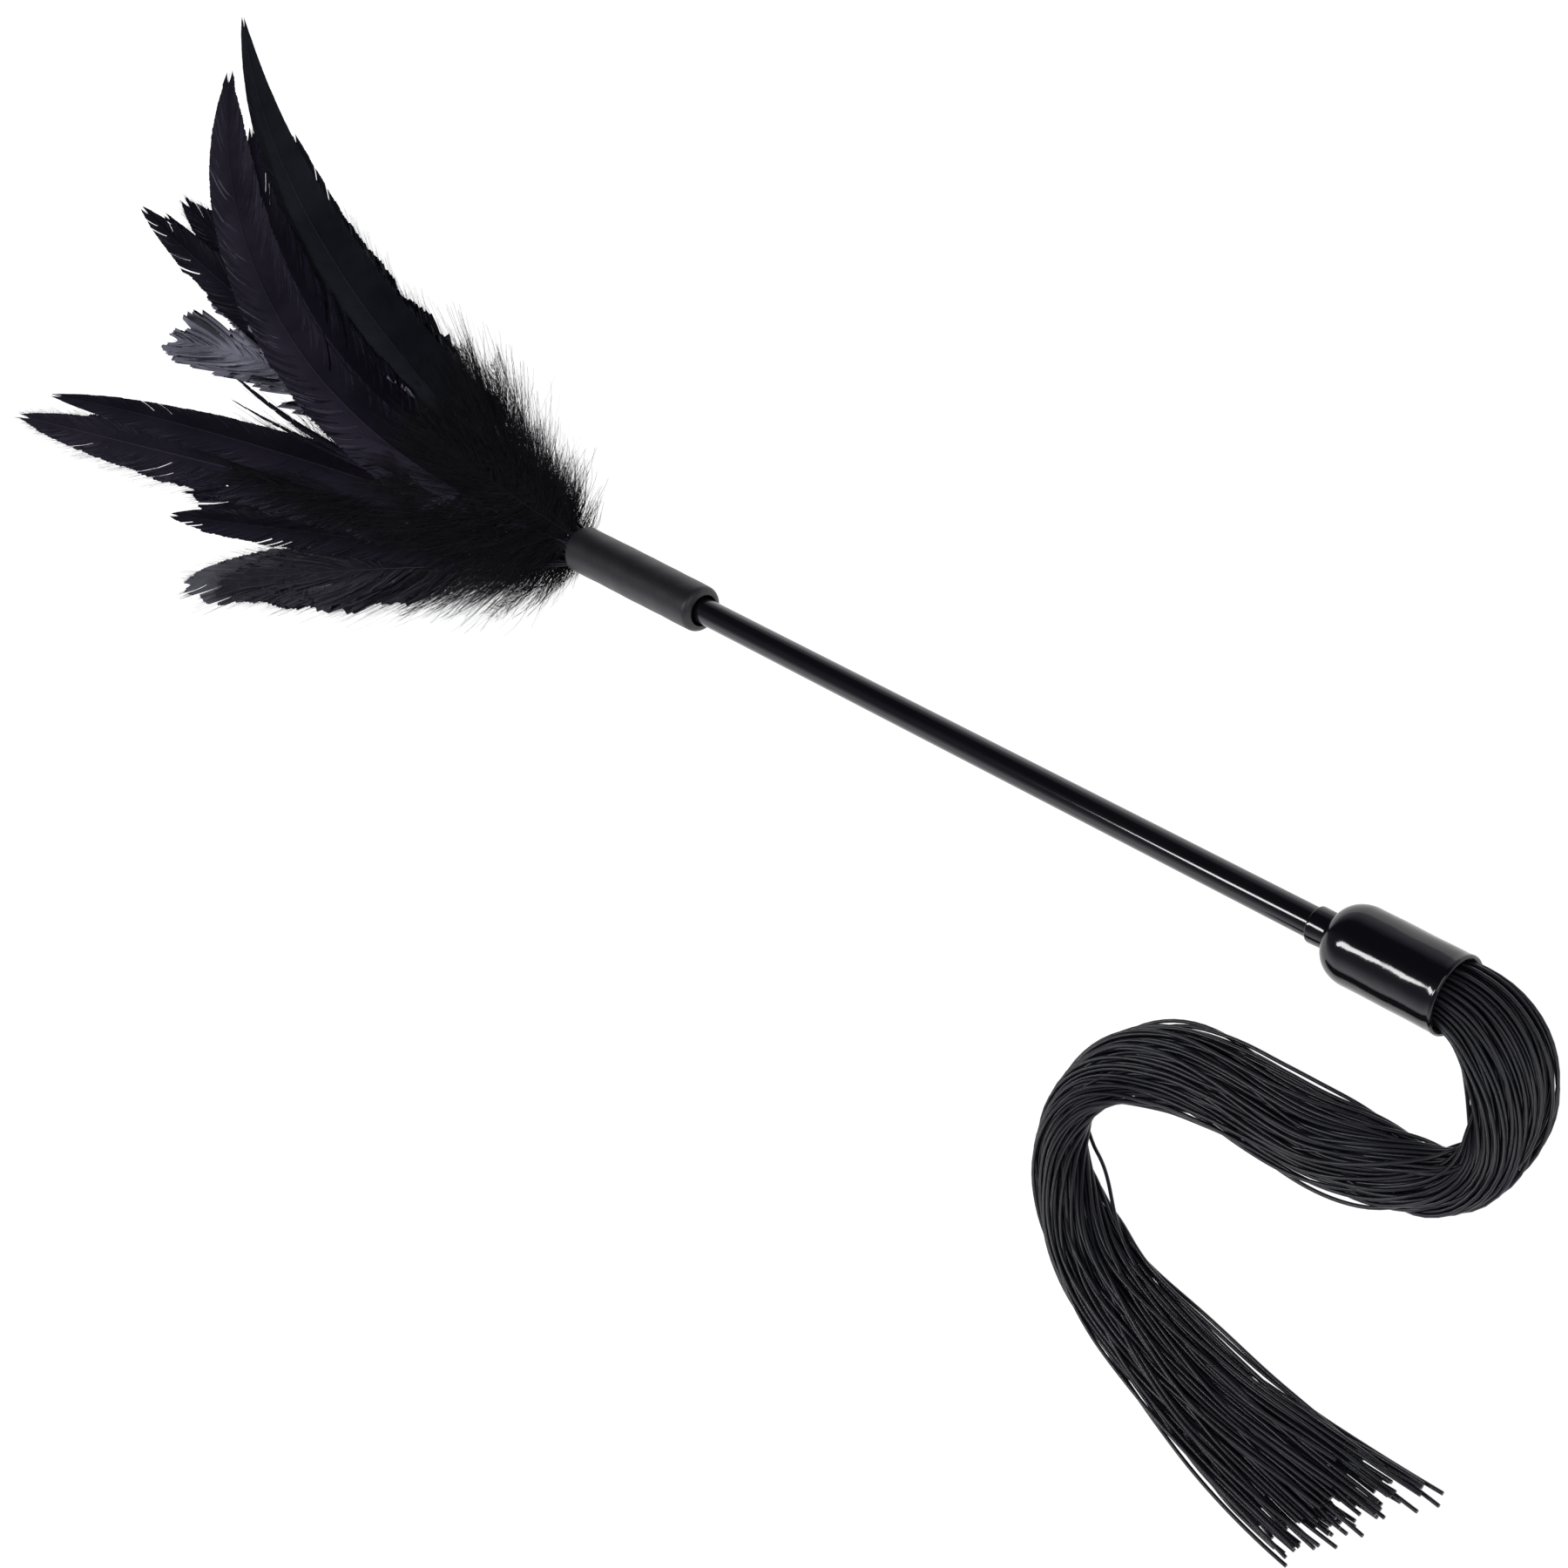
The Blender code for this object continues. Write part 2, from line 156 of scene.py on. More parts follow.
# ---- node-based materials ----
class Finish:
    """A Principled material with helpers for noise-driven colour, roughness and bump."""

    def __init__(self, name, **sockets):
        self.material = bpy.data.materials.new(name)
        self.material.use_nodes = True
        self.tree = self.material.node_tree
        self.shader = self.tree.nodes["Principled BSDF"]
        for socket, value in sockets.items():
            self.shader.inputs[socket.replace("_", " ")].default_value = value
        self.place = self.tree.nodes.new("ShaderNodeTexCoord").outputs["Object"]

    def stretched(self, scale):
        mapping = self.tree.nodes.new("ShaderNodeMapping")
        mapping.inputs["Scale"].default_value = scale
        self.tree.links.new(self.place, mapping.inputs["Vector"])
        return mapping.outputs["Vector"]

    def noise(self, scale, detail=3.0, rough=0.5, vector=None):
        node = self.tree.nodes.new("ShaderNodeTexNoise")
        node.inputs["Scale"].default_value = scale
        node.inputs["Detail"].default_value = detail
        node.inputs["Roughness"].default_value = rough
        self.tree.links.new(vector or self.place, node.inputs["Vector"])
        return node.outputs["Fac"]

    def ramp(self, factor, stops):
        node = self.tree.nodes.new("ShaderNodeValToRGB")
        while len(node.color_ramp.elements) < len(stops):
            node.color_ramp.elements.new(0.5)
        for element, (position, color) in zip(node.color_ramp.elements, stops):
            element.position = position
            element.color = (*color, 1)
        self.tree.links.new(factor, node.inputs["Fac"])
        return node.outputs["Color"]

    def painted_shade_along_x(self, factor, x_none, x_full):
        """The factor, lowered to a third where x is x_none: a painted shade along x."""
        split = self.tree.nodes.new("ShaderNodeSeparateXYZ")
        self.tree.links.new(self.place, split.inputs["Vector"])
        share = self.tree.nodes.new("ShaderNodeMapRange")
        share.inputs["From Min"].default_value = x_none
        share.inputs["From Max"].default_value = x_full
        share.inputs["To Min"].default_value = 0.33
        self.tree.links.new(split.outputs["X"], share.inputs["Value"])
        product = self.tree.nodes.new("ShaderNodeMath")
        product.operation = "MULTIPLY"
        self.tree.links.new(factor, product.inputs[0])
        self.tree.links.new(share.outputs["Result"], product.inputs[1])
        return product.outputs["Value"]

    def color(self, output):
        self.tree.links.new(output, self.shader.inputs["Base Color"])

    def roughness(self, factor, low, high):
        node = self.tree.nodes.new("ShaderNodeMapRange")
        node.inputs["To Min"].default_value = low
        node.inputs["To Max"].default_value = high
        self.tree.links.new(factor, node.inputs["Value"])
        self.tree.links.new(node.outputs["Result"], self.shader.inputs["Roughness"])

    def bump(self, factor, strength, distance):
        node = self.tree.nodes.new("ShaderNodeBump")
        node.inputs["Strength"].default_value = strength
        node.inputs["Distance"].default_value = distance
        self.tree.links.new(factor, node.inputs["Height"])
        if self.shader.inputs["Normal"].is_linked:
            self.tree.links.new(self.shader.inputs["Normal"].links[0].from_socket, node.inputs["Normal"])
        self.tree.links.new(node.outputs["Normal"], self.shader.inputs["Normal"])


def rod_finish():
    finish = Finish("rod_gloss_black")
    mottle = finish.noise(60, 4)
    finish.color(finish.ramp(mottle, [(0.3, (0.0035, 0.0035, 0.0050)), (0.75, (0.0060, 0.0058, 0.0078))]))
    finish.roughness(finish.noise(90, 2, 0.5), 0.07, 0.11)
    finish.bump(finish.noise(14, 2, vector=finish.stretched((1, 8, 8))), 0.06, 0.0006)
    return finish.material


def vinyl_finish():
    finish = Finish("cap_dipped_vinyl")
    finish.color(finish.ramp(finish.noise(45, 4), [(0.3, (0.0030, 0.0030, 0.0044)),
                                                   (0.8, (0.0056, 0.0054, 0.0074))]))
    finish.roughness(finish.noise(260, 4, 0.6), 0.06, 0.14)
    finish.bump(finish.noise(85, 2), 0.35, 0.0006)
    finish.bump(finish.noise(700, 2), 0.06, 0.0002)
    return finish.material


def sleeve_finish():
    finish = Finish("sleeve_matte_rubber", Specular_IOR_Level=0.55)
    dust = finish.noise(1500, 2, 0.8)
    finish.color(finish.ramp(dust, [(0.35, (0.0088, 0.0084, 0.0108)), (0.66, (0.0135, 0.0130, 0.0160)),
                                    (0.76, (0.055, 0.055, 0.060))]))
    finish.roughness(finish.noise(120, 3), 0.40, 0.52)
    finish.bump(finish.noise(2600, 3, 0.6), 0.30, 0.00012)
    finish.bump(finish.noise(60, 2), 0.30, 0.0006)
    return finish.material


def strand_finish():
    finish = Finish("strand_satin_rubber", Specular_IOR_Level=0.60)
    finish.color(finish.ramp(finish.noise(70, 4), [(0.3, (0.0060, 0.0062, 0.0100)),
                                                   (0.7, (0.0110, 0.0112, 0.0180))]))
    finish.roughness(finish.noise(400, 3), 0.30, 0.42)
    finish.bump(finish.noise(1400, 2), 0.08, 0.00010)
    return finish.material


def plume_finish(name, dark, light, sheen, shine=0.45):
    """Dyed vane: near black, with painted shade that darkens it toward the sleeve, a coloured sheen and fine
    streaks.
    """
    finish = Finish(name, Sheen_Weight=0.06, Sheen_Roughness=0.35, Sheen_Tint=(*sheen, 1),
                    Specular_IOR_Level=shine, Specular_Tint=(*sheen, 1))
    # painted shade: the colour's mottle is lowered to a third toward the sleeve, darkening the bases of the
    # feathers
    mottle = finish.painted_shade_along_x(finish.noise(38, 5, 0.6), MOUTH_X + SLEEVE_FAR - 0.05, MOUTH_X + SLEEVE_FAR - 0.22)
    finish.color(finish.ramp(mottle, [(0.22, dark), (0.66, light)]))
    finish.roughness(finish.noise(300, 4, 0.7), 0.36, 0.54)
    return finish.material


def down_finish():
    finish = Finish("down_black", Sheen_Weight=0.03, Sheen_Roughness=0.5, Sheen_Tint=(0.6, 0.55, 0.8, 1),
                    Specular_IOR_Level=0.22)
    finish.color(finish.ramp(finish.noise(120, 3), [(0.3, (0.0018, 0.0016, 0.0028)),
                                                    (0.8, (0.0046, 0.0041, 0.0066))]))
    finish.roughness(finish.noise(300, 2), 0.70, 0.90)
    return finish.material


def glue_finish():
    finish = Finish("hot_glue")
    finish.color(finish.ramp(finish.noise(200, 3), [(0.3, (0.45, 0.40, 0.28)), (0.7, (0.60, 0.55, 0.42))]))
    finish.roughness(finish.noise(300, 2), 0.30, 0.50)
    return finish.material


def thread_finish():
    finish = Finish("binding_thread")
    finish.color(finish.ramp(finish.noise(900, 3), [(0.3, (0.012, 0.012, 0.012)),
                                                    (0.7, (0.030, 0.030, 0.030))]))
    finish.roughness(finish.noise(500, 2), 0.75, 0.92)
    wraps = finish.tree.nodes.new("ShaderNodeTexWave")
    wraps.inputs["Scale"].default_value = 900
    finish.tree.links.new(finish.place, wraps.inputs["Vector"])
    finish.bump(wraps.outputs["Fac"], 0.6, 0.0003)
    return finish.material


def bush_finish():
    finish = Finish("bush_plastic")
    finish.color(finish.ramp(finish.noise(300, 3), [(0.3, (0.006, 0.006, 0.006)),
                                                    (0.7, (0.012, 0.012, 0.012))]))
    finish.roughness(finish.noise(500, 2), 0.55, 0.75)
    return finish.material


# ---- meshes ----
def mesh_object(name, points, faces, material, sharp=None):
    """faces is a list of integer arrays, each with one row for each face."""
    points = np.asarray(points, dtype=np.float32).reshape(-1, 3)
    mesh = bpy.data.meshes.new(name)
    mesh.vertices.add(len(points))
    mesh.vertices.foreach_set("co", points.ravel())
    counts = np.concatenate([np.full(len(rows), rows.shape[1], dtype=np.int32) for rows in faces])
    corners = np.concatenate([rows.ravel() for rows in faces]).astype(np.int32)
    mesh.loops.add(len(corners))
    mesh.loops.foreach_set("vertex_index", corners)
    mesh.polygons.add(len(counts))
    mesh.polygons.foreach_set("loop_start", np.concatenate([[0], np.cumsum(counts)[:-1]]).astype(np.int32))
    mesh.polygons.foreach_set("loop_total", counts)
    mesh.update(calc_edges=True)
    mesh.validate()
    mesh.shade_smooth()
    if sharp:
        mesh.set_sharp_from_angle(angle=math.radians(sharp))
    mesh.materials.append(material)
    piece = bpy.data.objects.new(name, mesh)
    bpy.context.scene.collection.objects.link(piece)
    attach(piece, "root")
    return piece


def smooth_noise(x, y, seed, waves=6):
    """Sum of a few slow sines, the same each run, about -1 to 1."""
    draw = np.random.default_rng(seed)
    total = np.zeros(np.broadcast(x, y).shape)
    for _ in range(waves):
        across, along = draw.normal(0, 1, 2)
        total += np.sin(across * x + along * y + draw.uniform(0, 2 * math.pi))
    return total / math.sqrt(waves)


def turned(name, profile, steps, material, hollow, wobble=0.0, seed=1):
    """A profile of (x, radius) in the wand's frame, spun about the rod's axis. wobble is how uneven it is."""
    profile = np.array(profile)
    angle = np.linspace(0, 2 * math.pi, steps, endpoint=False)
    x, radius = profile[:, :1], profile[:, 1:]
    uneven = smooth_noise(x * 260 + np.cos(angle) * 1.6, np.sin(angle) * 1.6, seed) * wobble
    ring_radius = radius + uneven
    points = np.stack([np.broadcast_to(x, ring_radius.shape) + MOUTH_X,
                       AXIS_Y + ring_radius * np.sin(angle), AXIS_Z + ring_radius * np.cos(angle)], axis=-1)
    rings = len(profile)
    first = np.arange(rings if hollow else rings - 1)[:, None] * steps
    second = (first + steps) % (rings * steps)
    step = np.arange(steps)[None, :]
    after = (step + 1) % steps
    quads = np.stack([first + step, second + step, second + after, first + after], axis=-1).reshape(-1, 4)
    faces = [quads]
    if not hollow:
        faces.append(np.arange(steps)[None, :])
        faces.append(np.arange((rings - 1) * steps, rings * steps)[None, ::-1])
    return mesh_object(name, points, faces, material, sharp=35)


def arc(center_x, center_radius, size_x, size_radius, start, end, steps):
    angle = np.radians(np.linspace(start, end, steps + 1))
    return list(zip(center_x + size_x * np.cos(angle), center_radius + size_radius * np.sin(angle)))


def along(start, end, radius_start, radius_end, steps):
    return list(zip(np.linspace(start, end, steps + 1), np.linspace(radius_start, radius_end, steps + 1)))


def make_rod(material):
    low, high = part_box("rod")
    start, end, radius = low[0] - MOUTH_X, high[0] - MOUTH_X, (high[2] - low[2]) / 2
    edge = 0.0005
    profile = arc(start + edge, radius - edge, edge, edge, 180, 90, 4)
    profile += along(start + edge, end - edge, radius, radius, 60)[1:-1]
    profile += arc(end - edge, radius - edge, edge, edge, 90, 0, 4)
    rod = turned("rod_gloss", profile, 96, material, hollow=False, wobble=0.000003, seed=3)
    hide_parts("rod")


def make_cap(material):
    """Dip-moulded cap: rolled neck lip, round shoulder, straight body, slightly flared thick rim."""
    body, shoulder, neck = 26.2 * MM, 7.5 * MM, 5.9 * MM
    neck_radius, wall = 4.8 * MM, 1.4 * MM
    back = -body
    neck_front = back - shoulder
    neck_back = neck_front - neck
    bore, neck_bore = CAP_RADIUS - wall, 4.2 * MM
    lip = 0.45 * MM
    rim = 0.55 * MM
    profile = arc(neck_back + lip, neck_radius - lip, lip, lip, 180, 90, 5)
    profile += along(neck_back + lip, neck_front - 0.8 * MM, neck_radius, neck_radius - 0.12 * MM, 8)[1:]
    profile += arc(back, neck_radius, shoulder, CAP_RADIUS - neck_radius - 0.05 * MM, 172, 90, 22)
    profile += along(back, -3 * rim, CAP_RADIUS - 0.05 * MM, CAP_RADIUS - 0.12 * MM, 34)[1:]
    profile += arc(-rim, CAP_RADIUS - rim, 1.4 * rim, rim, 110, 0, 8)
    profile += arc(-rim, bore + 0.3 * MM, rim, 0.3 * MM, 0, -90, 5)[1:]
    profile += along(-2 * rim, back, bore, bore, 16)
    profile += arc(back, neck_bore, shoulder - wall, bore - neck_bore, 90, 172, 12)[1:]
    profile += along(neck_front, neck_back + 0.1 * MM, neck_bore, neck_bore, 4)
    cap = turned("tassel_cap_vinyl", profile, 144, material, hollow=True, wobble=0.00006, seed=11)
    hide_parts("tassel_cap")


def make_sleeve(material):
    """Heat-shrunk rubber sleeve: square cut at the feathers, drawn in round the rod at the other end."""
    near, wall, draw = SLEEVE_RADIUS - 0.3 * MM, 0.85 * MM, 2.3 * MM
    edge = 0.25 * MM
    profile = arc(SLEEVE_FAR + edge, SLEEVE_RADIUS - edge, edge, edge, 180, 90, 4)
    profile += along(SLEEVE_FAR + edge, SLEEVE_NEAR - 2 * draw, SLEEVE_RADIUS, near + 0.06 * MM, 40)[1:]
    profile += arc(SLEEVE_NEAR - draw, near - draw, draw, draw, 90, 2, 14)
    profile += arc(SLEEVE_NEAR - draw, near - draw, draw - wall, draw - wall, 0, 90, 8)
    profile += along(SLEEVE_NEAR - 2 * draw, SLEEVE_FAR, near - wall + 0.1 * MM, SLEEVE_RADIUS - wall, 12)[1:]
    sleeve = turned("grip_sleeve_rubber", profile, 112, material, hollow=True, wobble=0.00006, seed=23)
    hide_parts("grip_sleeve")


def finish_hidden_nodes():
    """The hidden pieces keep their CAD shape, but the strands' binding is a thin wrap round all of them."""
    glue, thread = glue_finish(), thread_finish()
    for node, material in (("quill_glue_plug", glue), ("strand_glue_plug", glue), ("quill_binding", thread),
                           ("rod_bush", bush_finish())):
        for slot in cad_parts[node].material_slots:
            slot.material = material
    low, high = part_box("strand_binding")
    start, end = low[0] - MOUTH_X, high[0] - MOUTH_X
    inner, outer = BINDING_RADII
    profile = [(start, outer), (end, outer), (end, inner), (start, inner)]
    ring = turned("strand_binding_thread", profile, 96, thread, hollow=True)
    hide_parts("strand_binding")


# ---- strands ----
# Middle of the bundle from above, in the wand's frame, from its root in the cap. The last point is one more
# than the CAD strands have, so that the longest strands have a route to their ends.
STRAND_ROUTE = (
    (-0.0200, 0.0000), (-0.0080, 0.0000), (0.0015, -0.0001), (0.0088, -0.0022), (0.0155, -0.0072),
    (0.0205, -0.0145), (0.0228, -0.0235), (0.0217, -0.0320), (0.0160, -0.0380), (0.0060, -0.0408),
    (-0.0060, -0.0420), (-0.0170, -0.0427), (-0.0300, -0.0428), (-0.0440, -0.0435), (-0.0580, -0.0465),
    (-0.0700, -0.0540), (-0.0760, -0.0650), (-0.0735, -0.0775), (-0.0640, -0.0880), (-0.0520, -0.0960),
    (-0.0380, -0.1015), (-0.0200, -0.1060), (-0.0020, -0.1095), (0.0160, -0.1120), (0.0330, -0.1140),
    (0.0500, -0.1155), (0.0680, -0.1165),
)
STRANDS = 110                # enough to leave no gaps in the bundle; the real number isn't known
DECLARED_STRANDS = 40        # the highest ones
STRAND_DIAMETER = 0.00100
STRAND_SIDES = 8
STATION = 0.0022
CUT_AT = 0.3005              # length of a strand in the middle of the fan
MOUTH_AT = 0.020             # distance along the route to the cap's mouth
ROUNDS = 280
GOLDEN_ANGLE = 2.399963
STRAND_GAP = 1.12            # between the middles of neighbours, in diameters
CAP_ROOM = 8.6 * MM          # the strands stay inside this radius in the cap
BINDING_RADII = (8.62 * MM, 8.72 * MM)
INNER_GROUPS = 7
LOCK_NODES = sorted(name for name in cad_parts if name.startswith("strand_lock"))


def spline_points(control, step):
    """Points a step apart on a Catmull-Rom curve through the control points."""
    nodes = np.array(control)
    nodes = np.vstack([2 * nodes[0] - nodes[1], nodes, 2 * nodes[-1] - nodes[-2]])
    fine = []
    for index in range(1, len(nodes) - 2):
        before, start, end, after = nodes[index - 1:index + 3]
        t = np.linspace(0, 1, 16, endpoint=False)[:, None]
        fine.append(0.5 * (2 * start + (end - before) * t
                           + (2 * before - 5 * start + 4 * end - after) * t ** 2
                           + (3 * start - before - 3 * end + after) * t ** 3))
    fine = np.vstack(fine + [nodes[-2:-1]])
    travelled = np.concatenate([[0], np.cumsum(np.linalg.norm(np.diff(fine, axis=0), axis=1))])
    wanted = np.arange(0, travelled[-1], step)
    points = [np.interp(wanted, travelled, fine[:, axis]) for axis in range(fine.shape[1])]
    return np.stack(points, axis=1), wanted


def smooth_step(low, high, value):
    share = np.clip((value - low) / (high - low), 0, 1)
    return share * share * (3 - 2 * share)


# Places where one strand at the edge bows out of the bundle: distance from the root, spread, side offset.
BOWED_OUT = (
    (0.104, 0.010, -0.0024), (0.190, 0.020, 0.0042), (0.086, 0.014, 0.0020), (0.158, 0.014, -0.0016),
    (0.218, 0.018, -0.0018),
)


def relaxed_bundle(distance):
    """Side offset and height of each strand at each station, above the surface and inside the cap.

    The strands are pushed apart, but pulled to their places and smoothed as well, so that many of them still
    cut into a neighbour.
    """
    count = np.arange(STRANDS)
    spoke = count * GOLDEN_ANGLE + 0.4
    spread = np.sqrt((count + 0.5) / STRANDS)
    across, up = (spread * np.cos(spoke))[:, None], (spread * np.sin(spoke))[:, None]
    twist = np.radians(230) * (smooth_step(0.038, 0.100, distance) - smooth_step(0.148, 0.216, distance))
    turned_across = across * np.cos(twist) + up * np.sin(twist)
    turned_up = up * np.cos(twist) - across * np.sin(twist)
    out = smooth_step(MOUTH_AT - 0.002, 0.052, distance)
    fan = smooth_step(0.222, 0.345, distance)
    bulge = smooth_step(0.022, 0.036, distance) * (1 - smooth_step(0.048, 0.064, distance))
    half_width = (0.0079 + 0.0022 * out + 0.0110 * fan) * (1 + 0.30 * bulge)
    half_height = 0.0079 - 0.0043 * out - 0.0012 * fan
    middle = AXIS_Z + (0.0040 - 0.0014 * fan - AXIS_Z) * out
    wander = smooth_noise(count[:, None] * 7.3, distance[None, :] * 48, 5)
    bob = smooth_noise(count[:, None] * 5.1, distance[None, :] * 50, 6)
    sector = np.floor(spoke / math.radians(33)) % 11
    together = smooth_noise(sector[:, None] * 9.1, distance[None, :] * 58, 12)
    rise = smooth_noise(sector[:, None] * 6.7, distance[None, :] * 52, 14)
    roaming = np.where(count % 7 == 3, 1.7, 1.0)[:, None]
    side_goal = (turned_across * half_width + wander * roaming * (0.0010 * out + 0.0004 * fan)
                 + together * (0.0021 * out - 0.0009 * fan))
    high_goal = (middle + turned_up * half_height + bob * (0.0008 * out - 0.0003 * fan)
                 + rise * (0.0012 * out * (1 - fan)))
    outer = smooth_step(0.052, 0.064, distance) * (1 - smooth_step(0.078, 0.098, distance))
    side_goal *= 1 + 0.35 * outer * (side_goal > 0)
    for place, reach, offset in BOWED_OUT:
        station = np.argmin(np.abs(distance - place))
        strand = np.argmax(side_goal[:, station] * np.sign(offset))
        side_goal[strand] += offset * np.exp(-((distance - place) / reach) ** 2)
    side, high = side_goal.copy(), high_goal.copy()
    apart = STRAND_DIAMETER * STRAND_GAP
    radius = STRAND_DIAMETER / 2
    bore = CAP_ROOM - radius
    in_cap = distance < MOUTH_AT + 0.0005
    same = np.eye(STRANDS, dtype=bool)[None]
    for turn in range(ROUNDS):
        settle = turn < 0.8 * ROUNDS
        if settle:
            side += 0.10 * (side_goal - side)
            high += 0.06 * (high_goal - high) - 0.00002 * out
        for line in (side, high):
            line[:, 1:-1] += 0.5 * ((line[:, :-2] + line[:, 2:]) / 2 - line[:, 1:-1])
        for _ in range(1 if settle else 2):
            x, z = side.T.astype(np.float32), high.T.astype(np.float32)
            gap_x, gap_z = x[:, :, None] - x[:, None, :], z[:, :, None] - z[:, None, :]
            reach = np.sqrt(gap_x ** 2 + gap_z ** 2) + 1e-9
            push = np.where((reach < apart) & ~same, (apart - reach) / reach, 0) * 0.27
            side += (push * gap_x).sum(2).T
            high += (push * gap_z).sum(2).T
            high = np.maximum(high, radius + 0.00005)
            from_axis = np.sqrt(side[:, in_cap] ** 2 + (high[:, in_cap] - AXIS_Z) ** 2)
            inward = np.minimum(1, bore / np.maximum(from_axis, 1e-9))
            side[:, in_cap] *= inward
            high[:, in_cap] = AXIS_Z + (high[:, in_cap] - AXIS_Z) * inward
    for line in (side, high):
        for _ in range(10):
            line[:, 1:-1] = (line[:, :-2] + 2 * line[:, 1:-1] + line[:, 2:]) / 4
    return side, high


def strand_mesh(name, paths, material):
    """Round strands with square-cut ends, one tube for each path."""
    angle = np.linspace(0, 2 * math.pi, STRAND_SIDES, endpoint=False)
    radius = STRAND_DIAMETER / 2
    points, quads, ends, base = [], [], [], 0
    for path in paths:
        tangent = np.gradient(path, axis=0)
        tangent /= np.linalg.norm(tangent, axis=1, keepdims=True)
        level = np.cross(tangent, (0, 0, 1))
        level /= np.linalg.norm(level, axis=1, keepdims=True)
        upright = np.cross(level, tangent)
        ring = level[:, None] * np.cos(angle)[None, :, None] + upright[:, None] * np.sin(angle)[None, :, None]
        points.append((path[:, None] + ring * radius).reshape(-1, 3))
        first = base + np.arange(len(path) - 1)[:, None] * STRAND_SIDES
        step = np.arange(STRAND_SIDES)[None, :]
        after = (step + 1) % STRAND_SIDES
        quads.append(np.stack([first + step, first + after, first + STRAND_SIDES + after,
                               first + STRAND_SIDES + step], axis=-1).reshape(-1, 4))
        ends.append(base + np.arange(STRAND_SIDES)[::-1])
        ends.append(base + (len(path) - 1) * STRAND_SIDES + np.arange(STRAND_SIDES))
        base += len(path) * STRAND_SIDES
    return mesh_object(name, np.vstack(points), [np.vstack(quads), np.array(ends)], material, sharp=50)


def make_strands(material):
    route, distance = spline_points(STRAND_ROUTE, STATION)
    tangent = np.gradient(route, axis=0)
    tangent /= np.linalg.norm(tangent, axis=1, keepdims=True)
    left = np.stack([-tangent[:, 1], tangent[:, 0]], axis=1)
    side, high = relaxed_bundle(distance)
    draw = np.random.default_rng(19)
    longest = int(np.argmax(side[:, -16]))
    paths = []
    for number in range(STRANDS):
        flat = route + left * side[number][:, None]
        path = np.column_stack([flat, high[number]]) + ORIGIN
        cut = CUT_AT + 0.62 * side[number, -16] + np.clip(draw.normal(0, 0.0052), -0.013, 0.009)
        if number == longest:
            cut += 0.007
        steps = np.linspace(0, min(cut, distance[-1]), round(cut / STATION))
        paths.append(np.stack([np.interp(steps, distance, path[:, axis]) for axis in range(3)], axis=1))
    above = [float(np.mean(path[20:, 2])) for path in paths]
    order = np.argsort(above)[::-1]
    for rank, number in enumerate(order[:DECLARED_STRANDS]):
        path = paths[number]
        strand = strand_mesh(f"strand_{rank + 1:02d}", [path], material)
        if rank < len(LOCK_NODES):
            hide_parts(LOCK_NODES[rank])
    rest = order[DECLARED_STRANDS:]
    for group in range(INNER_GROUPS):
        members = [paths[number] for number in rest[group::INNER_GROUPS]]
        inner = strand_mesh(f"inner_strands_{group + 1}", members, material)


# ---- feathers ----
# Reach beyond the sleeve, side of the tip, layer, half width, side of the bend, side of the quill: in mm.
PLUMES = {
    "low_fringe_plume": (150, -66, 1, 11, -36, -3.0),
    "lowest_plume": (163, -73, 3, 11, -37, -3.2),
    "low_inner_plume": (92, 33, 4, 11, 16, 2.4),
    "rounded_plume": (146, -64, 5, 12, -40, -4.4),
    "left_fill_plume": (195, -47, 6, 11, -28, -2.8),
    "spike_plume": (189, -58, 8, 7, -38, -4.2),
    "inner_fill_plume": (137, 46, 9, 12, 24, 4.4),
    "long_left_plume": (296, -55, 10, 12, -36, -1.6),
    "forked_left_plume": (274, -42, 12, 9, -20, -2.0),
    "inner_edge_plume": (183, 66, 13, 10, 28, 3.8),
    "pale_plume": (252, 46, 14, 9, 20, 2.4),
    "curled_satin_plume": (212, -3, 15, 10, 16, -0.8),
    "paired_plume": (263, 36, 16, 11, 14, 0.4),
    "top_plume": (272, 119, 18, 13, 36, 1.6),
    "banded_plume": (249, 97, 20, 11.5, -18, -0.6),
}
# Feathers without a CAD feather of their own: they fill the head out, or stray from it.
EXTRA_PLUMES = {
    "between_plume": (222, 80, 19, 12, -2, 0.4),
    "second_top_plume": (206, 84, 17, 12, 26, 2.0),
    "behind_banded_plume": (214, 56, 15.8, 13, -6, 0.4),
    "behind_top_plume": (188, 62, 16.4, 13, 14, 1.4),
    "pair_second_tip": (252, 38, 15.5, 5, 14, 0.4),
    "thin_low_plume": (182, -79, 2.4, 10, -39, -3.2),
    "low_side_plume": (128, -58, 6, 12, -34, -4.0),
    "satin_second_plume": (206, 19, 14.4, 7, 12, 0.0),
    "wisp_long": (191, 0, 13.5, 1.6, -18, 0.0),
    "wisp_short": (177, -11, 12.5, 1.2, -14, 0.0),
}
DOWNS = {
    "down_under_tail": (40, -24, 0.6, 9, -12, -0.6),
    "down_under_side": (83, -38, 2, 11, -20, -1.4),
    "down_low_inner": (43, 17, 7, 9, 9, 3.2),
    "down_middle": (151, -23, 11, 15, -12, -3.2),
    "down_inner_edge": (82, 33, 17, 11, 13, 3.6),
    "down_top_left": (75, -13, 19, 14, -6, -2.4),
    "down_top": (74, 14, 21, 12, 5, 2.0),
}
LAYERS = 22
QUILL_DEPTH = 18.8 * MM
BARB_COVER = 0.9             # a barb's width as a share of the space between barbs
BARB_POINTS = 8              # points along a barb
TOP_LAYER = 21.5


